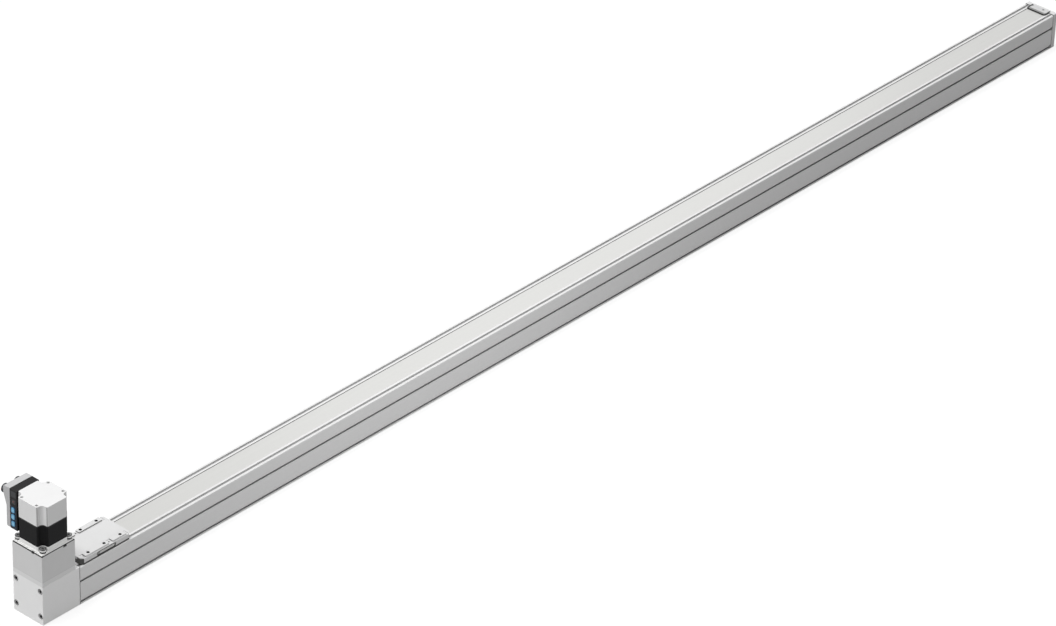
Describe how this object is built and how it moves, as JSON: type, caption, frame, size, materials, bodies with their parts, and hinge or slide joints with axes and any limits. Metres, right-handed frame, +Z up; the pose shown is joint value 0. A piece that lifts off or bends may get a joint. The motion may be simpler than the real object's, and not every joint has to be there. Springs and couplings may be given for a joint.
{
  "type": "belt driven linear axis",
  "caption": "Long slim linear axis: a belt pulls a slide along a rail inside an extruded profile, driven by an upright motor with a keypad controller.",
  "frame": {"origin": "on the drive shaft's axis, level with the underside", "axes": "+X along the travel away from the motor, +Z up, out of the slide's mounting face"},
  "size_m": [2.379, 0.0918, 0.1954],
  "materials": {
    "anodised_aluminium": "natural anodised, fine matt",
    "housing_aluminium": "anodised, fine matt",
    "coupling_aluminium": "anodised, a shade darker",
    "hub_aluminium": "turned",
    "bright_steel": "ground",
    "screw_steel": "blackened",
    "band_steel": "smooth rolled",
    "stator_black": "matt black",
    "rotor_steel": "laminated",
    "copper": "enamelled copper",
    "magnet": "bonded magnet",
    "board_green": "circuit board",
    "spider_red": "polyurethane",
    "belt_black": "matt",
    "rubber_black": "matt",
    "wiper_black": "matt",
    "controller_black": "fine matt",
    "cover_grey": "satin",
    "keypad_blue": "membrane",
    "key_blue": "satin",
    "display_dark": "glossy",
    "connector_black": "matt"
  },
  "bodies": {
    "base": {"profile": "anodised_aluminium", "drive_housing": "housing_aluminium", "housing_screws": "screw_steel", "neck_plate": "housing_aluminium", "coupling_housing": "coupling_aluminium", "motor_flange": "housing_aluminium", "motor_screws": "screw_steel", "motor_stator": "stator_black", "motor_windings": "copper", "motor_lid": "housing_aluminium", "lid_screws": "screw_steel", "motor_bearings": "bright_steel", "encoder_board": "board_green", "shaft_bearings": "bright_steel", "guide_rail": "bright_steel", "rail_screws": "screw_steel", "magnet_strips": "magnet", "cover_band": "band_steel", "band_clamp_near": "anodised_aluminium", "band_clamp_far": "anodised_aluminium", "clamp_screws": "screw_steel", "buffer_near": "rubber_black", "buffer_far": "rubber_black", "end_cap": "housing_aluminium", "cap_screws": "screw_steel", "tension_screws": "screw_steel", "idler_block": "anodised_aluminium", "idler_axle": "bright_steel", "toothed_belt": "belt_black", "controller_housing": "controller_black", "controller_cover": "cover_grey", "keypad": "keypad_blue", "display_window": "display_dark", "controller_boards": "board_green", "connectors": "connector_black"},
    "slide": {"slide_body": "anodised_aluminium", "slide_cover": "anodised_aluminium", "cover_screws": "screw_steel", "band_guides": "wiper_black", "wipers": "wiper_black", "side_inserts": "housing_aluminium", "carriage_block": "bright_steel", "carriage_caps": "wiper_black", "carriage_balls": "bright_steel", "carriage_screws": "screw_steel", "belt_clamp": "anodised_aluminium", "belt_clamp_screws": "screw_steel"},
    "drive_train": {"drive_shaft": "bright_steel", "drive_pulley": "hub_aluminium", "coupling_hub_lower": "hub_aluminium", "coupling_spider": "spider_red", "coupling_hub_upper": "hub_aluminium", "motor_shaft": "bright_steel", "rotor": "rotor_steel", "encoder_magnet": "magnet"},
    "idler": {"idler_pulley": "hub_aluminium", "idler_bearings": "bright_steel"},
    "up_key": {"key_up": "key_blue"},
    "set_key": {"key_set": "key_blue"},
    "down_key": {"key_down": "key_blue"}
  },
  "joints": [
    {"name": "slide_travel", "type": "slide", "parent": "base", "child": "slide", "axis": [1, 0, 0], "range_m": [0, 2.15], "deforming": ["cover_band", "toothed_belt"]},
    {"name": "drive_rotation", "type": "hinge", "parent": "base", "child": "drive_train", "pos_m": [0, 0, 0.04], "axis": [0, 0, 1], "continuous": true},
    {"name": "idler_rotation", "type": "hinge", "parent": "base", "child": "idler", "pos_m": [2.3134, 0, 0.04], "axis": [0, 0, 1], "continuous": true},
    {"name": "up_key_press", "type": "slide", "parent": "base", "child": "up_key", "axis": [1, 0, 0], "range_m": [0, 0.0006], "stiffness_N_per_m": 2000},
    {"name": "set_key_press", "type": "slide", "parent": "base", "child": "set_key", "axis": [1, 0, 0], "range_m": [0, 0.0006], "stiffness_N_per_m": 2000},
    {"name": "down_key_press", "type": "slide", "parent": "base", "child": "down_key", "axis": [1, 0, 0], "range_m": [0, 0.0006], "stiffness_N_per_m": 2000}
  ],
  "couplings": [
    {"joint": "drive_rotation", "follows": "slide_travel", "rad_per_m": 80.554},
    {"joint": "idler_rotation", "follows": "slide_travel", "rad_per_m": 80.554}
  ]
}
